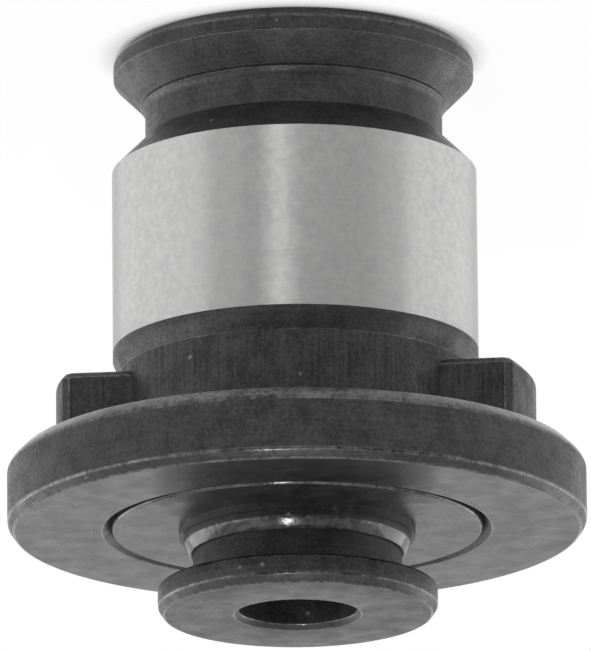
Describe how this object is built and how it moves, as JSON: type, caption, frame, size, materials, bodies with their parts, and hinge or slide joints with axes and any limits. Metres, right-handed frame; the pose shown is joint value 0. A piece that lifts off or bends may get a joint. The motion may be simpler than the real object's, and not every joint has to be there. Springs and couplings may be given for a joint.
{
  "type": "tapping adapter",
  "caption": "Round quick-change tapping adapter: ground shank with a locking groove and head, two drive lugs, a flange, and a sprung release sleeve with a tap bore.",
  "frame": {"origin": "centre of the end face of the head, on which the adapter stands", "axes": "+Z along the axis, from the head to the nose; the two drive lugs point along +X and -X"},
  "size_m": [0.03, 0.03, 0.0301],
  "materials": {
    "body_steel": "hardened steel, black oxide, with a ground bright shank",
    "bush_steel": "hardened steel, black oxide",
    "sleeve_steel": "hardened steel, black oxide, turned",
    "spring_steel": "oil-tempered spring steel",
    "ball_steel": "polished bearing steel"
  },
  "bodies": {
    "body": {"adapter_body": "body_steel", "cone_bush": "bush_steel", "release_spring": "spring_steel"},
    "sleeve": {"release_sleeve": "sleeve_steel", "sleeve_snap_ring": "spring_steel", "clamping_ball_1": "ball_steel", "clamping_ball_2": "ball_steel", "clamping_ball_3": "ball_steel"}
  },
  "joints": [
    {"name": "sleeve_push", "type": "slide", "parent": "body", "child": "sleeve", "axis": [0, 0, -1], "range_m": [0, 0.0015], "stiffness_N_per_m": 1600, "springref_m": -0.0024, "deforming": ["release_spring"]}
  ]
}
